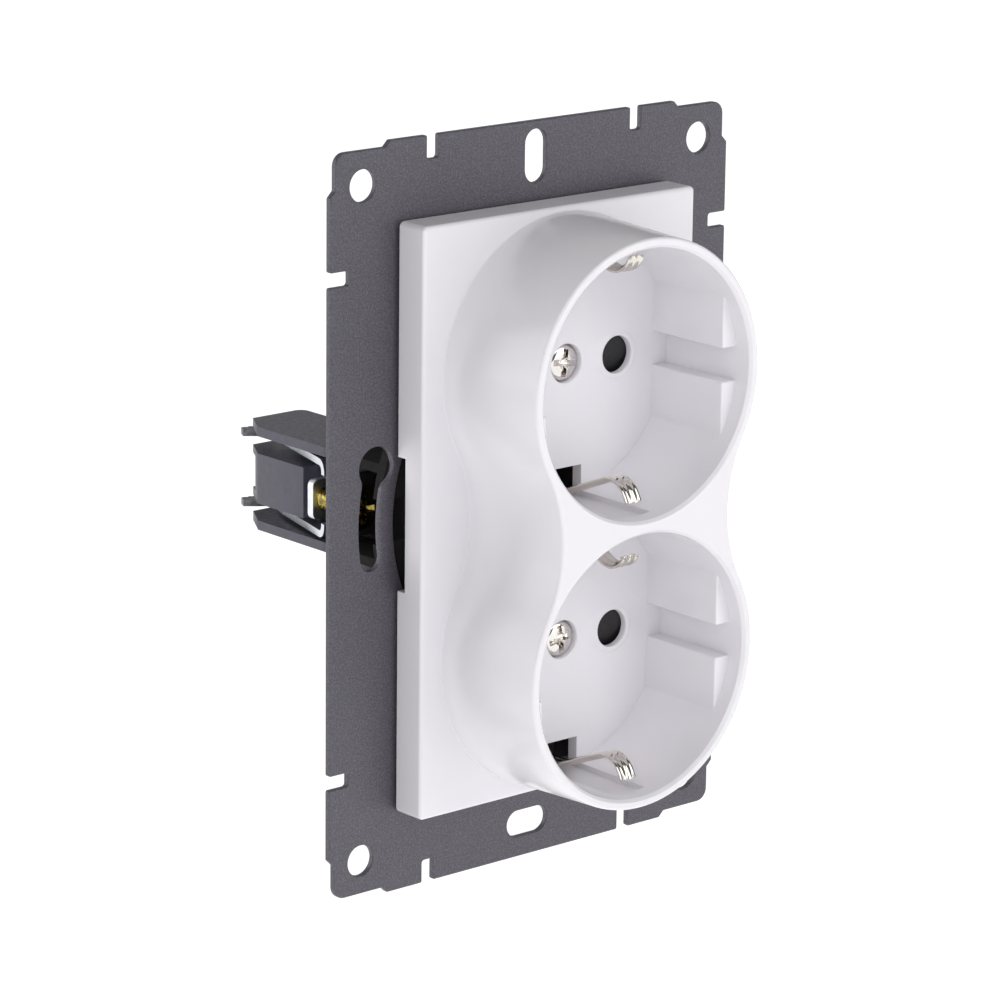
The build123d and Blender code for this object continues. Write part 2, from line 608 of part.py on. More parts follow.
for pole, x in (("neutral", -TERMINAL_X), ("earth", 0), ("line", TERMINAL_X)):
    save(terminal_clamp(x), f"terminal_clamp_{pole}")
    save(terminal_screw(x), f"terminal_screw_{pole}")
save(contact_bar(), "contact_bar_line")
save(mirror_x(contact_bar()), "contact_bar_neutral")

for node, make in (("claw_screw", claw_screw), ("claw_nut", claw_nut), ("claw", claw)):
    save(make(), f"{node}_left")
    save(mirror_x(make()), f"{node}_right")
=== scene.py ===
"""Looks of a double earthed wall outlet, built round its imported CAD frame."""

import json
from math import acos, atan2, cos, pi, radians, sin, sqrt

import bmesh
import bpy
from mathutils import Matrix, Vector
from mathutils.geometry import tessellate_polygon

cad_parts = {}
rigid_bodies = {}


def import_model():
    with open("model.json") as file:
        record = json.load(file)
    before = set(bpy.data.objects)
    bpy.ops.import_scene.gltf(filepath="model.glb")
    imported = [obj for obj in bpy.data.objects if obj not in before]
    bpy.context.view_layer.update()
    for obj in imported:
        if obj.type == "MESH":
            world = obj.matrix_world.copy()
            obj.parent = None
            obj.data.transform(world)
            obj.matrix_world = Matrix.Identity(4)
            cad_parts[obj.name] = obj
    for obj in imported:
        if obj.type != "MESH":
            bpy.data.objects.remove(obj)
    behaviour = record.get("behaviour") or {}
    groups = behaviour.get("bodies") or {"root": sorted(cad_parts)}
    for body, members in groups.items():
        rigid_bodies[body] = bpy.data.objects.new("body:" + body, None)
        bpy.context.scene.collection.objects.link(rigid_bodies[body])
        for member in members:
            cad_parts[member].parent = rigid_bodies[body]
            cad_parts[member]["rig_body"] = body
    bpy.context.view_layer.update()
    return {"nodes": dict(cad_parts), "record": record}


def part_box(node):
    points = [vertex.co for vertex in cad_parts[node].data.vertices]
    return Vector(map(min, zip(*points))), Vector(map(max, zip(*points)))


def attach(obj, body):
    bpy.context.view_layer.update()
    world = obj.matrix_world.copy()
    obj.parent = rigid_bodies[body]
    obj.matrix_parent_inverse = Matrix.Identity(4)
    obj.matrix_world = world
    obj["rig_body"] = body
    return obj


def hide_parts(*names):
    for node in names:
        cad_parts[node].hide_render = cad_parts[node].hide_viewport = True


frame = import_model()

# Meshes are worked out in millimetres and scaled to metres when a piece is finished.
# X runs to the right, Y into the wall and Z up, as in the frame.
MM = 0.001
SHARP_ANGLE = 32  # edges that bend more than this are sharp, in degrees
ROLLED_ANGLE = 60  # the same, once the sharp edges have been rolled
FLAT_WEIGHT = 80  # how far large faces win over small ones in smooth shading


def limits(node):
    """Lowest and highest corner of a CAD node, in millimetres."""
    low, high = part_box(node)
    return low / MM, high / MM


def middle(node):
    low, high = limits(node)
    return (low + high) / 2


SLOTS = {part["node"]: part["material_slot"] for part in frame["record"]["subparts"]}
PLATE_LOW, PLATE_HIGH = limits("mounting_plate")
COVER_LOW, COVER_HIGH = limits("front_cover")
SOCKETS = {level: middle(f"cover_screw_{level}").z for level in ("upper", "lower")}
RISE = (SOCKETS["upper"] + SOCKETS["lower"]) / 2
HALF_SPACING = (SOCKETS["upper"] - SOCKETS["lower"]) / 2


# ---- mesh helpers ----

def arc(centre, radius, start, end, steps):
    """Points on an arc between two angles in degrees, ends included."""
    angles = [radians(start + (end - start) * k / steps) for k in range(steps + 1)]
    return [Vector((centre[0] + radius * cos(a), centre[1] + radius * sin(a))) for a in angles]


def circle(centre, radius, sides=48):
    return arc(centre, radius, 0, 360, sides)[:-1]


def rounded(corners, steps=5, closed=True):
    """An outline with arcs at its corners. A corner is (u, v, radius)."""
    points = []
    count = len(corners)
    for k, (u, v, radius) in enumerate(corners):
        here = Vector((u, v))
        if radius <= 0 or (not closed and k in (0, count - 1)):
            points.append(here)
            continue
        before = (Vector(corners[k - 1][:2]) - here).normalized()
        after = (Vector(corners[(k + 1) % count][:2]) - here).normalized()
        half = acos(max(-1.0, min(1.0, before.dot(after)))) / 2
        centre = here + (before + after).normalized() * radius / sin(half)
        reach = radius * cos(half) / sin(half)
        first, last = here + before * reach - centre, here + after * reach - centre
        start = atan2(first.y, first.x)
        turn = (atan2(last.y, last.x) - start + pi) % (2 * pi) - pi
        for step in range(steps + 1):
            angle = start + turn * step / steps
            points.append(centre + radius * Vector((cos(angle), sin(angle))))
    return points


def rounded_box(low, high, radius, steps=5):
    (u0, v0), (u1, v1) = low, high
    return rounded([(u0, v0, radius), (u1, v0, radius), (u1, v1, radius), (u0, v1, radius)], steps)


def turned_about(loop, centre, degrees):
    """The loop turned about a point."""
    c, s = cos(radians(degrees)), sin(radians(degrees))
    moved = [p - Vector(centre) for p in loop]
    return [Vector((centre[0] + p.x * c - p.y * s, centre[1] + p.x * s + p.y * c)) for p in moved]


def area(loop):
    return sum(a.x * b.y - b.x * a.y for a, b in zip(loop, loop[1:] + loop[:1])) / 2


def inset(loop, distance):
    """The loop moved to its left, with mitred corners."""
    moved = []
    for before, here, after in zip(loop[-1:] + loop[:-1], loop, loop[1:] + loop[:1]):
        one, two = (here - before).normalized(), (after - here).normalized()
        left_one, left_two = Vector((-one.y, one.x)), Vector((-two.y, two.x))
        moved.append(here + (left_one + left_two) * distance / (1 + left_one.dot(left_two)))
    return moved


def skin(bm, rings):
    """Quads between rings that have the same number of vertices."""
    for low, high in zip(rings, rings[1:]):
        for k in range(len(low)):
            j = (k + 1) % len(low)
            bm.faces.new((low[k], low[j], high[j], high[k]))


def cap(bm, loops):
    """Triangles that close a flat outline and leave its holes open."""
    flat = [v for loop in loops for v in loop]
    for triangle in tessellate_polygon([[v.co for v in loop] for loop in loops]):
        bm.faces.new([flat[k] for k in triangle])


def edge_rings(low, high, low_edge, high_edge, steps=3):
    """(inset, depth) of the rings of a wall whose edges are rolled."""
    quarter = [pi / 2 * k / steps for k in range(steps + 1)]
    rings = [(low_edge * (1 - sin(t)), low + low_edge * (1 - cos(t))) for t in quarter]
    return rings + [(high_edge * (1 - sin(t)), high - high_edge * (1 - cos(t))) for t in reversed(quarter)]


def slab(loops, low, high, edge, back_edge=None, steps=3):
    """A closed plate between two depths. The first loop is its outline, and the others are holes."""
    bm = bmesh.new()
    ends = [[], []]
    rings = edge_rings(low, high, edge, edge if back_edge is None else back_edge, steps)
    for number, loop in enumerate(loops):
        if (area(loop) > 0) != (number == 0):
            loop = loop[::-1]
        made = [[bm.verts.new((p.x, depth, p.y)) for p in inset(loop, by)] for by, depth in rings]
        skin(bm, made)
        ends[0].append(made[0])
        ends[1].append(made[-1])
    for end in ends:
        cap(bm, end)
    return bm


def turned(profile, x, z, sides=96):
    """A closed solid turned about Y, from (radius, depth) pairs that start and end on the axis."""
    bm = bmesh.new()
    rings = []
    for radius, depth in profile[1:-1]:
        angles = [2 * pi * k / sides for k in range(sides)]
        rings.append([bm.verts.new((x + radius * cos(a), depth, z + radius * sin(a))) for a in angles])
    skin(bm, rings)
    for ring, (_, depth) in ((rings[0], profile[0]), (rings[-1], profile[-1])):
        tip = bm.verts.new((x, depth, z))
        for k in range(sides):
            bm.faces.new((ring[k], ring[(k + 1) % sides], tip))
    return bm


def solid(bm):
    """A working object in millimetres."""
    bmesh.ops.recalc_face_normals(bm, faces=bm.faces)
    mesh = bpy.data.meshes.new("work")
    bm.to_mesh(mesh)
    bm.free()
    obj = bpy.data.objects.new("work", mesh)
    bpy.context.scene.collection.objects.link(obj)
    return obj


def settle(obj):
    """Applies the object's modifiers."""
    bpy.context.view_layer.update()
    evaluated = obj.evaluated_get(bpy.context.evaluated_depsgraph_get())
    mesh = bpy.data.meshes.new_from_object(evaluated)
    obj.modifiers.clear()
    obj.data = mesh
    return obj


def combine(target, kind, *tools):
    """Adds the tools to the target or takes them away, and removes them."""
    for tool in tools:
        modifier = target.modifiers.new("cut", "BOOLEAN")
        modifier.operation = kind
        modifier.solver = "EXACT"
        modifier.object = tool
    settle(target)
    for tool in tools:
        bpy.data.objects.remove(tool)
    return target


def shade(obj, angle):
    """Smooth shading that large flat faces win."""
    for polygon in obj.data.polygons:
        polygon.use_smooth = True
    obj.data.set_sharp_from_angle(angle=radians(angle))
    weigh = obj.modifiers.new("weigh", "WEIGHTED_NORMAL")
    weigh.keep_sharp = True
    weigh.weight = FLAT_WEIGHT


def finish_piece(obj, name, node, angle=SHARP_ANGLE, edge=0.0):
    """Scales a working object to metres and puts it in its CAD node's place. Edges can be rolled."""
    obj.name = name
    obj.data.name = name
    obj.data.transform(Matrix.Scale(MM, 4))
    obj.data.materials.clear()
    obj.data.materials.append(MATERIALS[SLOTS[node]])
    if edge:
        roll = obj.modifiers.new("roll", "BEVEL")
        roll.width = edge * MM
        roll.segments = 2
        roll.limit_method = "ANGLE"
        roll.angle_limit = radians(angle)
        angle = ROLLED_ANGLE
    shade(obj, angle)
    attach(obj, frame["nodes"][node]["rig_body"])
    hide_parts(node)
    return obj


# ---- materials ----

class Shader:
    """A Principled material and the nodes that feed it. Texture sizes are in millimetres."""

    def __init__(self, name, **values):
        self.material = bpy.data.materials.new(name)
        self.material.use_nodes = True
        self.nodes = self.material.node_tree.nodes
        self.links = self.material.node_tree.links
        self.surface = self.nodes["Principled BSDF"]
        for key, value in values.items():
            self.surface.inputs[key.replace("_", " ")].default_value = value
        coordinates = self.nodes.new("ShaderNodeTexCoord")
        self.place = coordinates.outputs["Object"]

    def link(self, output, target):
        self.links.new(output, self.surface.inputs[target])

    def noise(self, size, detail=2.0):
        """Noise whose features are about size millimetres across."""
        mapping = self.nodes.new("ShaderNodeMapping")
        mapping.inputs["Scale"].default_value = [1 / (MM * size)] * 3
        noise = self.nodes.new("ShaderNodeTexNoise")
        noise.inputs["Scale"].default_value = 1.0
        noise.inputs["Detail"].default_value = detail
        noise.inputs["Roughness"].default_value = 0.5
        self.links.new(self.place, mapping.inputs["Vector"])
        self.links.new(mapping.outputs["Vector"], noise.inputs["Vector"])
        return noise.outputs["Fac"]

    def ramp(self, value, *stops):
        """Colours or greys along a value. A stop is (position, colour)."""
        node = self.nodes.new("ShaderNodeValToRGB")
        elements = node.color_ramp.elements
        while len(elements) < len(stops):
            elements.new(0.5)
        for element, (position, colour) in zip(elements, stops):
            element.position = position
            element.color = (*colour, 1) if isinstance(colour, tuple) else (colour, colour, colour, 1)
        self.links.new(value, node.inputs["Fac"])
        return node.outputs["Color"]

    def along_y(self, start, end):
        """A value that rises from 0 to 1 between two depths in millimetres."""
        split = self.nodes.new("ShaderNodeSeparateXYZ")
        span = self.nodes.new("ShaderNodeMapRange")
        span.inputs["From Min"].default_value = start * MM
        span.inputs["From Max"].default_value = end * MM
        self.links.new(self.place, split.inputs["Vector"])
        self.links.new(split.outputs["Y"], span.inputs["Value"])
        return span.outputs["Result"]

    def blend(self, share, low, high):
        """One colour that gives way to another."""
        node = self.nodes.new("ShaderNodeMix")
        node.data_type = "RGBA"
        self.links.new(share, node.inputs["Factor"])
        self.links.new(low, node.inputs[6])
        self.links.new(high, node.inputs[7])
        return node.outputs[2]

    def bump(self, value, height, strength):
        """Relief of a given height in millimetres."""
        node = self.nodes.new("ShaderNodeBump")
        node.inputs["Strength"].default_value = strength
        node.inputs["Distance"].default_value = height * MM
        self.links.new(value, node.inputs["Height"])
        return node.outputs["Normal"]


def powder_coat():
    """Dark grey metallic powder coat: fine orange peel with bright flakes."""
    s = Shader("plate_paint", Metallic=0.35, IOR=1.5)
    s.link(s.ramp(s.noise(0.26, 2.0), (0.32, (0.080, 0.075, 0.091)), (0.52, (0.104, 0.098, 0.117)),
                  (0.70, (0.143, 0.136, 0.158))), "Base Color")
    s.link(s.ramp(s.noise(0.4), (0.35, 0.38), (0.7, 0.5)), "Roughness")
    s.link(s.bump(s.noise(0.3, 2.0), 0.02, 0.6), "Normal")
    return s.material


def cover_plastic():
    """Glossy cool white moulding with the faint waviness of a moulded skin."""
    s = Shader("cover_plastic", IOR=1.49, Subsurface_Weight=0.12, Subsurface_Scale=0.0012)
    s.surface.inputs["Subsurface Radius"].default_value = (1.0, 0.8, 0.7)
    s.link(s.ramp(s.noise(9.0, 3.0), (0.3, (0.828, 0.812, 0.846)), (0.7, (0.840, 0.825, 0.858))),
           "Base Color")
    s.link(s.ramp(s.noise(2.5, 4.0), (0.3, 0.185), (0.7, 0.215)), "Roughness")
    s.link(s.bump(s.noise(5.0, 1.0), 0.02, 0.35), "Normal")
    return s.material


def moulded_dark(name, low, high, gloss=(0.32, 0.45), painted_shade_before=None):
    """Dark moulding with a fine sparked surface. It can carry painted shade: nearly black and matte up to a
    depth behind the wall plane, fading over the 5 mm before that depth, in place of the shadow between the
    plate and the housing."""
    s = Shader(name, IOR=1.5)
    colour = s.ramp(s.noise(1.6, 4.0), (0.3, low), (0.7, high))
    roughness = s.ramp(s.noise(0.6), (0.3, gloss[0]), (0.7, gloss[1]))
    if painted_shade_before is not None:
        # Painted shade: toward the wall plane the colour turns nearly black and the surface matte, as if in
        # shadow behind the plate.
        painted_shade = s.along_y(painted_shade_before - 5.0, painted_shade_before)
        colour = s.blend(painted_shade, s.ramp(s.noise(1.6, 4.0), (0.3, 0.006), (0.7, 0.010)), colour)
        roughness = s.blend(painted_shade, s.ramp(s.noise(0.6), (0.3, 0.9), (0.7, 0.98)), roughness)
    s.link(colour, "Base Color")
    s.link(roughness, "Roughness")
    s.link(s.bump(s.noise(0.22, 2.0), 0.02, 0.6), "Normal")
    return s.material


def plated(name, low, high, gloss):
    """Plated metal whose colour drifts and whose gloss varies finely."""
    s = Shader(name, Metallic=1.0)
    s.link(s.ramp(s.noise(2.0, 4.0), (0.3, low), (0.7, high)), "Base Color")
    s.link(s.ramp(s.noise(0.5, 3.0), (0.3, gloss[0]), (0.75, gloss[1])), "Roughness")
    s.link(s.bump(s.noise(0.35, 3.0), 0.004, 0.6), "Normal")
    return s.material


def zinc_steel():
    """Bright zinc-plated steel that turns dark toward the claws' points."""
    s = Shader("zinc_steel", Metallic=1.0)
    bright = s.ramp(s.noise(1.2, 4.0), (0.3, (0.74, 0.78, 0.84)), (0.7, (0.88, 0.90, 0.92)))
    dark = s.ramp(s.noise(0.8, 4.0), (0.3, (0.06, 0.06, 0.07)), (0.7, (0.16, 0.16, 0.17)))
    s.link(s.blend(s.along_y(33.8, 35.2), bright, dark), "Base Color")
    s.link(s.ramp(s.noise(0.5, 3.0), (0.3, 0.28), (0.75, 0.42)), "Roughness")
    s.link(s.bump(s.noise(0.35, 3.0), 0.008, 0.6), "Normal")
    return s.material


def yellow_passivated():
    """Yellow passivated zinc, which shifts between gold, green and rose."""
    s = Shader("yellow_zinc_steel", Metallic=1.0)
    s.link(s.ramp(s.noise(0.9, 3.0), (0.3, (0.08, 0.11, 0.04)), (0.45, (0.42, 0.34, 0.07)),
                  (0.58, (0.26, 0.17, 0.06)), (0.7, (0.10, 0.20, 0.12))), "Base Color")
    s.link(s.ramp(s.noise(0.4), (0.3, 0.08), (0.7, 0.16)), "Roughness")
    s.link(s.bump(s.noise(0.3, 3.0), 0.006, 0.6), "Normal")
    return s.material


MATERIALS = {
    "plate_paint": powder_coat(),
    "cover_plastic": cover_plastic(),
    # The dark moulding has painted shade from the wall plane back to 16 mm behind it, fading from 11 mm.
    "dark_plastic": moulded_dark("dark_plastic", (0.064, 0.061, 0.086), (0.078, 0.074, 0.102),
                                 painted_shade_before=16.0),
    "shutter_plastic": moulded_dark("shutter_plastic", (0.009, 0.008, 0.010), (0.014, 0.013, 0.015),
                                    (0.5, 0.6)),
    "nickel_steel": plated("nickel_steel", (0.74, 0.71, 0.68), (0.84, 0.81, 0.78), (0.05, 0.11)),
    "nickel_brass": plated("nickel_brass", (0.70, 0.66, 0.60), (0.82, 0.78, 0.72), (0.06, 0.12)),
    "spring_steel": plated("spring_steel", (0.5, 0.5, 0.52), (0.62, 0.62, 0.64), (0.25, 0.35)),
    "brass": plated("brass", (0.70, 0.50, 0.22), (0.80, 0.60, 0.30), (0.2, 0.34)),
    "zinc_steel": zinc_steel(),
    "yellow_zinc_steel": yellow_passivated(),
}


# ---- CAD nodes that stay: rolled edges and a material ----

EDGE = {"housing_body": 0.3, "housing_back": 0.25, "front_insulator": 0.2, "earth_strap": 0.12,
        "claw_left": 0.12, "claw_right": 0.12, "claw_nut_left": 0.2, "claw_nut_right": 0.2}
SMALL_EDGE = 0.06
WELD = 0.001
FLAT_ANGLE = 0.4  # faces that bend less than this are joined, in degrees


def dress_cad_nodes():
    for name, obj in frame["nodes"].items():
        obj.data.materials.clear()
        obj.data.materials.append(MATERIALS[SLOTS[name]])
        weld = obj.modifiers.new("weld", "WELD")
        weld.merge_threshold = WELD * MM
        flatten = obj.modifiers.new("flatten", "DECIMATE")
        flatten.decimate_type = "DISSOLVE"
        flatten.angle_limit = radians(FLAT_ANGLE)
        roll = obj.modifiers.new("roll", "BEVEL")
        roll.width = EDGE.get(name, SMALL_EDGE) * MM
        roll.segments = 2
        roll.limit_method = "ANGLE"
        roll.angle_limit = radians(SHARP_ANGLE)
        weigh = obj.modifiers.new("weigh", "WEIGHTED_NORMAL")
        weigh.weight = FLAT_WEIGHT


# ---- mounting plate ----

RELIEF = 0.9
RELIEF_X = 27.3
RELIEF_Z = 48.3
NOTCH_X = 18.9
NOTCH_Z = 36.0
NOTCH_HALF = 1.05
NOTCH_DEPTH = 3.35
NOTCH_R = 0.45
STEP_R = 0.3
CORNER_R = 1.8
PLATE_OPENING_R = 25.7
CORNER_HOLE = (31.3, 48.55, 2.3)
BOX_SCREW_R = 30.0
SLOT_HALF = 1.825
KEYHOLE_R = 3.0
KEYHOLE_ANGLE = 16.5
SLOT_END_ANGLE = 8.5
LONG_SLOT = (49.3, 3.85, 2.0)  # height above the centre, half length, half width
EDGE_ROLL = 0.16
SOFTEN_PASSES = 3
SOFTEN_BEND = 25  # degrees
STRAP_RIVET_HEAD_R = 1.35
STRAP_RIVET_HOLE_R = 1.0
CLIP_RIVET_HEAD_R = 1.7
CLIP_RIVET_HOLE_R = 1.9


def plate_outline():
    """Quarter of the outline, with its relief and notches, repeated by symmetry."""
    w, h = PLATE_HIGH.x, PLATE_HIGH.z
    quarter = [
        (NOTCH_X - NOTCH_HALF, h, STEP_R), (NOTCH_X - NOTCH_HALF, h - NOTCH_DEPTH, NOTCH_R),
        (NOTCH_X + NOTCH_HALF, h - NOTCH_DEPTH, NOTCH_R), (NOTCH_X + NOTCH_HALF, h, STEP_R),
        (RELIEF_X - RELIEF, h, STEP_R), (RELIEF_X, h - RELIEF, STEP_R),
        (w - RELIEF, h - RELIEF, CORNER_R),
        (w - RELIEF, RELIEF_Z, STEP_R), (w, RELIEF_Z - RELIEF, STEP_R),
        (w, NOTCH_Z + NOTCH_HALF, STEP_R), (w - NOTCH_DEPTH, NOTCH_Z + NOTCH_HALF, NOTCH_R),
        (w - NOTCH_DEPTH, NOTCH_Z - NOTCH_HALF, NOTCH_R), (w, NOTCH_Z - NOTCH_HALF, STEP_R),
    ]
    right = quarter + [(x, -z, r) for x, z, r in reversed(quarter)]
    return rounded(right + [(-x, z, r) for x, z, r in reversed(right)])


def keyhole_slot():
    """Arc slot on the right with its keyhole at the lower end."""
    hole = (BOX_SCREW_R * cos(radians(-KEYHOLE_ANGLE)), BOX_SCREW_R * sin(radians(-KEYHOLE_ANGLE)))
    outer, inner = BOX_SCREW_R + SLOT_HALF, BOX_SCREW_R - SLOT_HALF

    def meet(radius):
        """Angle, seen from the plate's centre, where a slot wall meets the keyhole."""
        reach = (radius ** 2 + BOX_SCREW_R ** 2 - KEYHOLE_R ** 2) / (2 * radius * BOX_SCREW_R)
        return acos(reach) * 180 / pi - KEYHOLE_ANGLE

    end = (BOX_SCREW_R * cos(radians(SLOT_END_ANGLE)), BOX_SCREW_R * sin(radians(SLOT_END_ANGLE)))
    walls = arc((0, 0), outer, meet(outer), SLOT_END_ANGLE, 16)
    walls += arc(end, SLOT_HALF, SLOT_END_ANGLE, SLOT_END_ANGLE + 180, 12)[1:-1]
    walls += arc((0, 0), inner, SLOT_END_ANGLE, meet(inner), 16)
    first, last = walls[-1] - Vector(hole), walls[0] - Vector(hole)
    start = atan2(first.y, first.x) * 180 / pi
    stop = atan2(last.y, last.x) * 180 / pi
    return walls + arc(hole, KEYHOLE_R, start, stop + 360 * (stop < start), 30)[1:-1]


def soften(loop):
    """Rounds the corners of a dense loop a little where its walls meet."""
    for _ in range(SOFTEN_PASSES):
        smoother = []
        for before, here, after in zip(loop[-1:] + loop[:-1], loop, loop[1:] + loop[:1]):
            bend = (here - before).angle(after - here, 0)
            smoother.append((before + 2 * here + after) / 4 if bend > radians(SOFTEN_BEND) else here)
        loop = smoother
    return loop


def stadium(x, z, half_length, half_width, upright):
    """Round-ended slot."""
    loop = arc((half_length - half_width, 0), half_width, -90, 90, 12)
    loop += arc((half_width - half_length, 0), half_width, 90, 270, 12)
    moved = turned_about(loop, (0, 0), 90 if upright else 0)
    return [p + Vector((x, z)) for p in moved]


def strap_rivet_places():
    low, high = limits("strap_rivets")
    spread = high.x - STRAP_RIVET_HEAD_R
    rows = (high.z - STRAP_RIVET_HEAD_R, low.z + STRAP_RIVET_HEAD_R)
    return [(side * spread, z) for side in (-1, 1) for z in rows]


def build_mounting_plate():
    slot_right = soften(keyhole_slot())
    height, half_length, half_width = LONG_SLOT
    x, z, radius = CORNER_HOLE
    loops = [plate_outline(), circle((0, 0), PLATE_OPENING_R, 128)]
    loops += [circle((sx * x, sz * z), radius) for sx in (-1, 1) for sz in (-1, 1)]
    loops += [slot_right, turned_about(slot_right, (0, 0), 180)]
    loops += [stadium(0, height, half_length, half_width, True)]
    loops += [stadium(0, -height, half_length, half_width, False)]
    loops += [circle(place, STRAP_RIVET_HOLE_R, 24) for place in strap_rivet_places()]
    rivet_low, rivet_high = limits("clip_rivets")
    for z in (rivet_low.z + CLIP_RIVET_HEAD_R, rivet_high.z - CLIP_RIVET_HEAD_R):
        loops.append(circle((0, z), CLIP_RIVET_HOLE_R, 32))
    plate = solid(slab(loops, PLATE_LOW.y, PLATE_HIGH.y, EDGE_ROLL))
    finish_piece(plate, "plate", "mounting_plate", 40)


# ---- front cover ----

BASE_FRONT = -6.87
FLOOR = -8.1
CUP_BASE_R, CUP_RIM_R = 21.6, 20.8
WAIST_X = 37.45
WAIST_BASE_R, WAIST_RIM_R = 21.0, 21.8
RIM_ROLL = 0.45
BASE_FILLET = 0.3
RECESS_R = 19.2
RIM_CHAMFER = 0.45
RIB_X, RIB_LOW, RIB_HIGH, RIB_FRONT = 16.45, 2.45, 10.3, -22.65
WINDOW_HALF = 3.1
WINDOW_IN, WINDOW_OUT, CHANNEL_IN = 15.1, 19.85, 17.0
PIN_X = 9.5
PIN_R = 2.7
SHUTTER_BACK = -4.8
COVER_CORNER_R = 0.8
COVER_WALL = 1.8
NOTCH_SIDE = (2.2, 9.7, -3.15)  # depth from the side, half height, front of the side notches
SEAT_R, SEAT_Y, SHANK_HOLE_R = 2.8, -6.2, 1.7
RING_R = 3.35
BOSS_R, BOSS_Y = 4.2, -4.75
UNDERSIDE_R, POCKET_R = 20.0, 13.55


def cups_ring(share, grow=0.0, steps=40):
    """The two cups' outline at a share of the way from base to rim, moved outwards by grow."""
    cup = CUP_BASE_R + (CUP_RIM_R - CUP_BASE_R) * share + grow
    waist = WAIST_BASE_R + (WAIST_RIM_R - WAIST_BASE_R) * share - grow
    lean = atan2(HALF_SPACING, WAIST_X) * 180 / pi
    top, bottom = (0, HALF_SPACING), (0, -HALF_SPACING)
    ring = arc(top, cup, -lean, 180 + lean, 2 * steps)[:-1]
    ring += arc((-WAIST_X, 0), waist, lean, -lean, steps)[:-1]
    ring += arc(bottom, cup, 180 - lean, 360 + lean, 2 * steps)[:-1]
    ring += arc((WAIST_X, 0), waist, 180 + lean, 180 - lean, steps)[:-1]
    return [Vector((p.x, p.y + RISE)) for p in ring]


def cups_solid():
    """Both cups: a fillet at the base, drafted walls and a rolled rim."""
    rim, steps = COVER_LOW.y, 6
    bm = bmesh.new()
    rings = [(0, BASE_FILLET, BASE_FRONT + 0.6)]
    for k in range(steps // 2 + 1):
        t = pi / 2 * k / (steps // 2)
        rings.append((0, BASE_FILLET * (1 - sin(t)), BASE_FRONT - BASE_FILLET * (1 - cos(t))))
    for k in range(steps + 1):
        t = pi / 2 * k / steps
        rings.append((1, -RIM_ROLL * (1 - cos(t)), rim + RIM_ROLL * (1 - sin(t))))
    made = []
    for share, grow, depth in rings:
        made.append([bm.verts.new((p.x, depth, p.y)) for p in cups_ring(share, grow)])
    skin(bm, made)
    cap(bm, [made[0]])
    cap(bm, [made[-1]])
    return solid(bm)


def recess_tool(z):
    """The space inside one cup, less the ribs on its walls."""
    rim = COVER_LOW.y
    wall = RECESS_R + 0.08
    profile = [(0, rim - 0.5), (wall + RIM_CHAMFER + 0.5, rim - 0.5), (wall + RIM_CHAMFER, rim),
               (wall + 0.05, rim + RIM_CHAMFER - 0.05), (wall, rim + RIM_CHAMFER + 0.1)]
    profile += [(RECESS_R, FLOOR), (0, FLOOR)]
    recess = solid(turned(profile, 0, z, 144))
    ribs = []
    for side in (-1, 1):
        for level in (-1, 1):
            u = sorted((side * RIB_X, side * (RECESS_R + 1.5)))
            v = sorted((z + level * RIB_LOW, z + level * RIB_HIGH))
            loop = rounded_box((u[0], v[0]), (u[1], v[1]), 0.3)
            ribs.append(solid(slab([loop], RIB_FRONT, FLOOR + 1, 0.28)))
    return combine(recess, "DIFFERENCE", *ribs)


def floor_tools(z):
    """What goes through the floor of one cup: pin holes, clip windows and the screw's seat."""
    tools = []
    for side in (-1, 1):
        mouth = [(0, FLOOR - 1), (PIN_R + 0.25, FLOOR - 1), (PIN_R + 0.25, FLOOR - 0.15),
                 (PIN_R + 0.08, FLOOR - 0.07), (PIN_R, FLOOR + 0.1),
                 (PIN_R, SHUTTER_BACK), (0, SHUTTER_BACK)]
        tools.append(solid(turned(mouth, side * PIN_X, z, 64)))
        window = sorted((z + side * WINDOW_IN, z + side * WINDOW_OUT))
        loop = rounded_box((-WINDOW_HALF, window[0]), (WINDOW_HALF, window[1]), 0.15, 3)
        tools.append(solid(slab([loop], FLOOR - 0.5, SHUTTER_BACK, 0.0)))
        channel = sorted((z + side * CHANNEL_IN, z + side * WINDOW_OUT))
        loop = rounded_box((-WINDOW_HALF, channel[0]), (WINDOW_HALF, channel[1]), 0.25, 3)
        tools.append(solid(slab([loop], RIB_FRONT, FLOOR + 0.2, 0.2)))
    mouth_r = SEAT_R + 0.25
    seat = [(0, FLOOR - 1), (mouth_r, FLOOR - 1), (mouth_r, FLOOR - 0.05), (SEAT_R + 0.05, FLOOR + 0.1),
            (SEAT_R, FLOOR + 0.3), (SEAT_R, SEAT_Y), (SHANK_HOLE_R, SEAT_Y), (SHANK_HOLE_R, 0), (0, 0)]
    tools.append(solid(turned(seat, 0, z, 64)))
    return tools


def pin_rings(z):
    """Low raised rings round the pin holes."""
    rings = []
    for side in (-1, 1):
        profile = [(0, FLOOR + 0.3), (RING_R + 0.35, FLOOR + 0.3), (RING_R + 0.35, FLOOR),
                   (RING_R + 0.15, FLOOR - 0.1), (RING_R, FLOOR - 0.15), (0, FLOOR - 0.15)]
        rings.append(solid(turned(profile, side * PIN_X, z, 64)))
    return rings


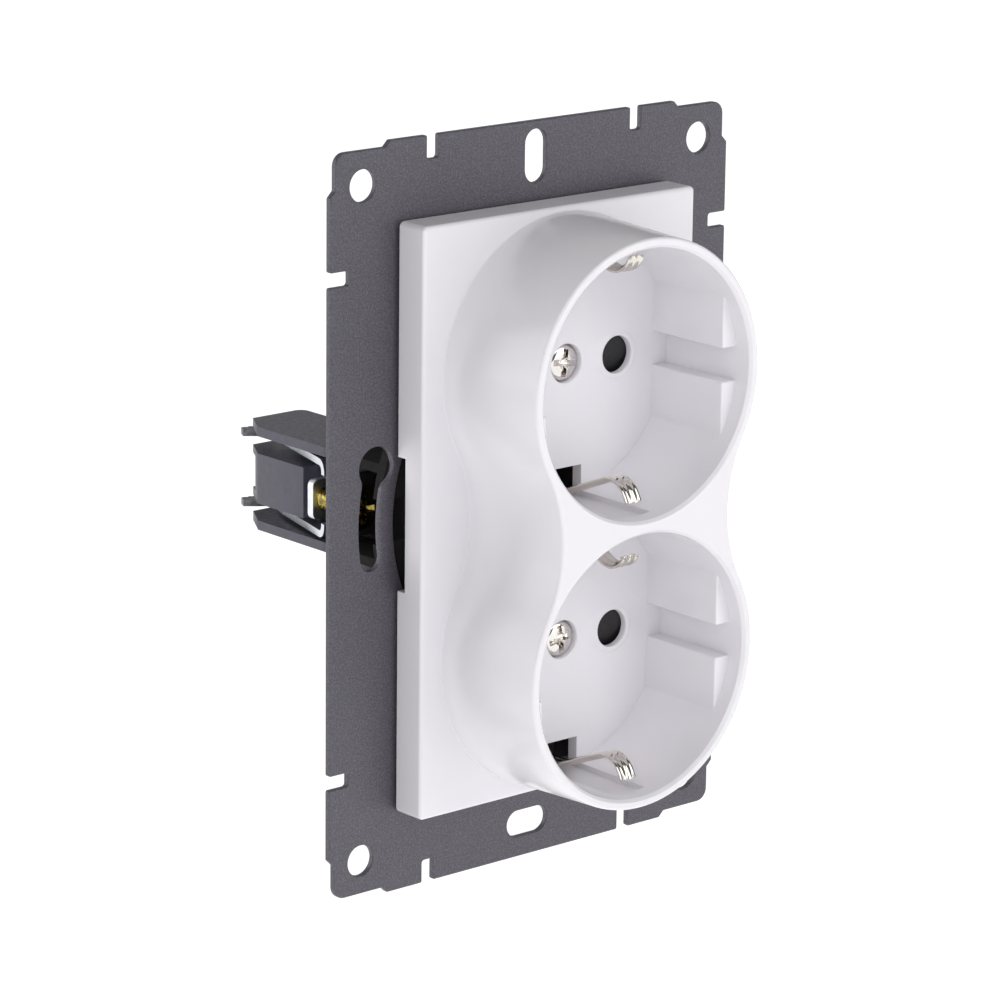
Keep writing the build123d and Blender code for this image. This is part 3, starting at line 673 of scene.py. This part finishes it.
def build_front_cover():
    low, high = COVER_LOW, COVER_HIGH
    outline = rounded_box((low.x, low.z), (high.x, high.z), COVER_CORNER_R, 6)
    base = solid(slab([outline], BASE_FRONT, high.y, 0.55, 0.1, steps=5))
    inside = rounded_box((low.x + COVER_WALL, low.z + COVER_WALL),
                         (high.x - COVER_WALL, high.z - COVER_WALL), 0.5)
    hollow = solid(slab([inside], BASE_FRONT + 2.0, high.y + 1, 0.0))
    cover = combine(base, "DIFFERENCE", hollow)
    cover = combine(cover, "UNION", cups_solid())
    undersides, bosses, pockets = [], [], []
    for z in SOCKETS.values():
        under = [(0, FLOOR + 1.8), (UNDERSIDE_R, FLOOR + 1.8), (UNDERSIDE_R, SHUTTER_BACK + 0.4),
                 (0, SHUTTER_BACK + 0.4)]
        undersides.append(solid(turned(under, 0, z)))
        pocket = [(0, FLOOR + 0.9), (POCKET_R, FLOOR + 0.9), (POCKET_R, FLOOR + 2.5), (0, FLOOR + 2.5)]
        pockets.append(solid(turned(pocket, 0, z)))
        boss = [(0, FLOOR + 0.5), (BOSS_R, FLOOR + 0.5), (BOSS_R, BOSS_Y), (0, BOSS_Y)]
        bosses.append(solid(turned(boss, 0, z, 64)))
    recesses = [recess_tool(z) for z in SOCKETS.values()]
    cover = combine(cover, "DIFFERENCE", *undersides, *pockets, *recesses)
    rings = [ring for z in SOCKETS.values() for ring in pin_rings(z)]
    cover = combine(cover, "UNION", *rings, *bosses)
    holes = [tool for z in SOCKETS.values() for tool in floor_tools(z)]
    notch_in, notch_half, notch_front = NOTCH_SIDE
    for side in (-1, 1):
        u = sorted((side * (high.x - notch_in), side * (high.x + 1)))
        notch = rounded_box((u[0], -notch_half), (u[1], notch_half), 0.2, 3)
        holes.append(solid(slab([notch], notch_front, 0, 0.0)))
    cover = combine(cover, "DIFFERENCE", *holes)
    finish_piece(cover, "cover", "front_cover")


# ---- earth clips ----

CLIP_HALF = 1.5
CLIP_THICK = 0.42
CLIP_GROOVE = 0.55  # distance of the two grooves from the strip's middle
CLIP_WAVE = 0.24
CLIP_FOOT_Y = -2.55
CLIP_ROUTE = [(CLIP_FOOT_Y, 16.5, 0), (CLIP_FOOT_Y, 18.95, 0.9), (-8.1, 18.75, 3.0),
              (-20.4, 13.7, 3.4), (-22.3, 17.3, 0)]
CLIP_FOOT = (2.4, 0.7, 1.25)  # half width, thickness, hole radius
CLIP_RIVET_Z = 14.6
CLIP_END_ROUND = 0.12
CLIP_LEAN = {"upper_top": 1.0, "lower_top": -1.1}  # how far the clip's bend stands from its usual place
CLIP_SHORT = {"upper_top": 0.9, "lower_top": 0.9}  # how much shorter its lip is


def clip_section():
    """Across the strip: two pressed grooves and rounded edges. Pairs of X and offset."""
    across = [CLIP_HALF * sin(pi * k / 48) for k in range(-24, 25)]
    faces = [[], []]
    for x in across:
        wave = CLIP_WAVE * cos(pi * min(abs(x) / CLIP_GROOVE, 2))
        left = max(0.0, CLIP_HALF - abs(x)) / (CLIP_THICK / 2)
        half = CLIP_THICK / 2 * sqrt(max(0.04, 1 - (1 - min(left, 1)) ** 2))
        faces[0].append((x, wave + half))
        faces[1].append((x, wave - half))
    return faces[0] + faces[1][::-1]


def swept(section, path):
    """A closed strip along a path drawn in Y and Z, with its last end rounded."""
    bm = bmesh.new()
    rings = []
    for k, here in enumerate(path):
        ahead = path[min(k + 1, len(path) - 1)] - path[max(k - 1, 0)]
        normal = Vector((-ahead.y, ahead.x)).normalized()
        rings.append([bm.verts.new((x, here.x + normal.x * t, here.y + normal.y * t)) for x, t in section])
    tip = path[-1] + ahead.normalized() * CLIP_END_ROUND
    rings.append([bm.verts.new((0.96 * x, tip.x + normal.x * t * 0.6, tip.y + normal.y * t * 0.6))
                  for x, t in section])
    skin(bm, rings)
    cap(bm, [rings[0]])
    cap(bm, [rings[-1]])
    return bm


def build_earth_clip(level, end):
    """Sprung contact: a foot under its rivet, a grooved strip and an out-turned lip."""
    key = f"{level}_{end}"
    lean, short = CLIP_LEAN.get(key, 0), CLIP_SHORT.get(key, 0)
    side = 1 if end == "top" else -1
    floor_y, bend_y = CLIP_ROUTE[2][0], CLIP_ROUTE[3][0]
    corners = []
    for y, z, radius in CLIP_ROUTE:
        share = max(0.0, (floor_y - y) / (floor_y - bend_y))
        corners.append((y, z + lean * share, radius))
    tip, bend = Vector(corners[-1][:2]), Vector(corners[-2][:2])
    tip += (bend - tip).normalized() * short
    corners[-1] = (tip.x, tip.y, 0)
    path = rounded(corners, 10, closed=False)
    strip = solid(swept(clip_section(), path))
    half, thick, hole = CLIP_FOOT
    outline = rounded_box((-half, CLIP_RIVET_Z - half), (half, CLIP_RIVET_Z + half), 0.8)
    foot_y = CLIP_FOOT_Y + thick / 2
    foot = solid(slab([outline, circle((0, CLIP_RIVET_Z), hole)], foot_y - thick, foot_y, 0.08))
    clip = combine(strip, "UNION", foot)
    clip.data.transform(Matrix.Diagonal((1, 1, side, 1)))
    if side < 0:
        clip.data.flip_normals()
    clip.data.transform(Matrix.Translation((0, 0, SOCKETS[level])))
    finish_piece(clip, f"side_clip_{key}", f"earth_clip_{key}", 40)


# ---- cross-recessed screws ----

SCREW_TURN = {"upper": -8, "lower": 9}  # how far each cover screw's recess is turned, in degrees


def thread(radius, start, end, pitch, depth):
    """(radius, depth) pairs of a thread's ridges. The start may be above or below the end."""
    step = pitch if end > start else -pitch
    pairs = []
    for k in range(int(abs(end - start) / pitch)):
        y = start + k * step
        pairs += [(radius - depth, y + 0.15 * step), (radius, y + 0.45 * step),
                  (radius, y + 0.6 * step), (radius - depth, y + 0.9 * step)]
    return pairs


def cross_recess(x, z, top, inward, reach, turn):
    """Tools for a tapered cross recess, turned by some degrees, with a cone in its middle."""
    bm = bmesh.new()
    rings = []
    for share in (-0.15, 1.0):
        r, h = reach * (1 - 0.35 * share), 0.46 * (1 - 0.35 * share)
        ring = []
        arm = [Vector((r, -h)), Vector((r, h)), Vector((h, h))]
        for quarter in range(4):
            ring += turned_about(arm, (0, 0), turn + 90 * quarter)
        rings.append([bm.verts.new((x + p.x, top + inward * 1.1 * share, z + p.y)) for p in ring])
    skin(bm, rings)
    cap(bm, [rings[0]])
    cap(bm, [rings[-1]])
    cone = [(0, top - 0.2 * inward), (1.05, top - 0.2 * inward), (0.85, top + 0.35 * inward),
            (0.25, top + 1.2 * inward), (0, top + 1.3 * inward)]
    return [solid(bm), solid(turned(cone, x, z, 32))]


def pan_screw(x, z, head, shank, pitch=0.75, turn=0):
    """Cross-recessed pan head and threaded shank. head is (radius, outer depth, inner depth) and shank
    is (radius, thread start, tip)."""
    radius, top, seat = head
    body, start, tip = shank
    inward = 1 if seat > top else -1
    profile = [(0, top), (0.45 * radius, top + 0.03 * inward), (0.75 * radius, top + 0.1 * inward),
               (0.88 * radius, top + 0.19 * inward), (0.96 * radius, top + 0.36 * inward),
               (radius, top + 0.6 * inward), (radius, seat - 0.06 * inward),
               (radius - 0.06, seat), (body, seat), (body, start)]
    profile += thread(body, start, tip - 0.5 * inward, pitch, 0.18 * body)
    profile += [(0.78 * body, tip - 0.45 * inward), (0.5 * body, tip), (0, tip)]
    screw = solid(turned(profile, x, z, 56))
    return combine(screw, "DIFFERENCE", *cross_recess(x, z, top, inward, min(0.82 * radius, 2.1), turn))


def join(objects):
    """One object from several that don't touch."""
    bm = bmesh.new()
    for obj in objects:
        bm.from_mesh(obj.data)
        bpy.data.objects.remove(obj)
    mesh = bpy.data.meshes.new("work")
    bm.to_mesh(mesh)
    bm.free()
    joined = bpy.data.objects.new("work", mesh)
    bpy.context.scene.collection.objects.link(joined)
    return joined


def build_screws():
    for level in SOCKETS:
        low, high = limits(f"cover_screw_{level}")
        shank = (1.45, -3.5, high.y)
        screw = pan_screw(0, SOCKETS[level], (high.x, low.y, low.y + 1.55), shank, turn=SCREW_TURN[level])
        finish_piece(screw, f"cover_fixing_{level}", f"cover_screw_{level}", edge=0.05)
    for side in ("left", "right"):
        low, high = limits(f"claw_screw_{side}")
        x = (low.x + high.x) / 2
        screw = pan_screw(x, 0, ((high.x - low.x) / 2, low.y, low.y + 2.0), (1.7, low.y + 2.3, high.y), 0.7)
        finish_piece(screw, f"claw_driver_{side}", f"claw_screw_{side}", edge=0.05)
    low, high = limits("back_screws")
    head = 2.4
    screws = [pan_screw(x, low.z + head, (head, high.y, high.y - 1.5), (1.2, high.y - 2.5, low.y))
              for x in (low.x + head, high.x - head)]
    finish_piece(join(screws), "back_fixings", "back_screws", edge=0.05)
    low, high = limits("clamp_screws")
    head = 2.5
    screws = [pan_screw(x, z, (head, low.y, low.y + 1.5), (1.3, low.y + 4, high.y))
              for x in (low.x + head, high.x - head) for z in (low.z + head, high.z - head)]
    finish_piece(join(screws), "clamp_fixings", "clamp_screws", edge=0.05)


# ---- camera, floor and light ----

FLOOR_HALF = 8000
FLOOR_GAP = 0.5

def build_camera():
    azimuth, elevation, roll = radians(-40.944), radians(14.711), radians(0.682)
    distance = 635.118
    target = Vector((-5.113, 0, -0.122))
    back = Vector((sin(azimuth) * cos(elevation), -cos(azimuth) * cos(elevation), sin(elevation)))
    right = (-back).cross(Vector((0, 0, 1))).normalized()
    up = right.cross(-back)
    right, up = right * cos(roll) + up * sin(roll), up * cos(roll) - right * sin(roll)
    data = bpy.data.cameras.new("camera")
    data.sensor_width = 36
    data.lens = 160.07
    camera = bpy.data.objects.new("camera", data)
    turn = Matrix((right, up, back)).transposed().to_4x4()
    camera.matrix_world = Matrix.Translation((target + back * distance) * MM) @ turn
    bpy.context.scene.collection.objects.link(camera)
    bpy.context.scene.camera = camera


def area_light(name, place, size, power):
    """A soft box that faces the outlet."""
    data = bpy.data.lights.new(name, "AREA")
    data.shape = "RECTANGLE"
    data.size, data.size_y = size
    data.energy = power
    light = bpy.data.objects.new(name, data)
    light.location = place
    light.rotation_euler = (-Vector(place)).to_track_quat("-Z", "Y").to_euler()
    bpy.context.scene.collection.objects.link(light)


def light_sky(even, behind):
    """An even sky that is brighter behind the outlet, toward +Y."""
    world = bpy.data.worlds.new("studio")
    bpy.context.scene.world = world
    world.use_nodes = True
    nodes, links = world.node_tree.nodes, world.node_tree.links
    direction = nodes.new("ShaderNodeTexCoord")
    toward = nodes.new("ShaderNodeVectorMath")
    toward.operation = "DOT_PRODUCT"
    toward.inputs[1].default_value = (0, 1, 0)
    front = nodes.new("ShaderNodeMath")
    front.operation = "MAXIMUM"
    front.inputs[1].default_value = 0
    strength = nodes.new("ShaderNodeMath")
    strength.operation = "MULTIPLY_ADD"
    strength.inputs[1].default_value = behind
    strength.inputs[2].default_value = even
    background = nodes["Background"]
    background.inputs["Color"].default_value = (0.985, 0.985, 1.0, 1)
    links.new(direction.outputs["Generated"], toward.inputs[0])
    links.new(toward.outputs["Value"], front.inputs[0])
    links.new(front.outputs["Value"], strength.inputs[0])
    links.new(strength.outputs["Value"], background.inputs["Strength"])


def build_stage():
    """Pale floor just under the plate, a soft sky and soft boxes."""
    bm = bmesh.new()
    bmesh.ops.create_grid(bm, x_segments=1, y_segments=1, size=FLOOR_HALF)
    bmesh.ops.translate(bm, vec=(0, 0, PLATE_LOW.z - FLOOR_GAP), verts=bm.verts)
    floor = solid(bm)
    floor.name = "floor"
    floor.data.transform(Matrix.Scale(MM, 4))
    shader = Shader("floor", Base_Color=(0.3, 0.3, 0.3, 1), Roughness=0.9)
    shader.surface.inputs["Emission Color"].default_value = (1, 1, 1, 1)
    shader.surface.inputs["Emission Strength"].default_value = 0.97
    floor.data.materials.append(shader.material)

    light_sky(0.128, 0.5)
    area_light("front_right", (0.45, -0.9, 0.25), (0.5, 0.9), 2.4)
    area_light("front_left", (-0.7, -0.75, 0.42), (0.5, 0.9), 3.1)
    area_light("front_high", (0.1, -0.8, 0.75), (0.7, 0.5), 2.4)
    area_light("back_left", (-0.7, 0.8, 0.1), (0.6, 1.0), 3.2)


dress_cad_nodes()
build_mounting_plate()
build_front_cover()
for level in SOCKETS:
    for end in ("top", "bottom"):
        build_earth_clip(level, end)
build_screws()
build_camera()
build_stage()

scene = bpy.context.scene
scene.view_settings.view_transform = "Standard"
scene.view_settings.look = "None"
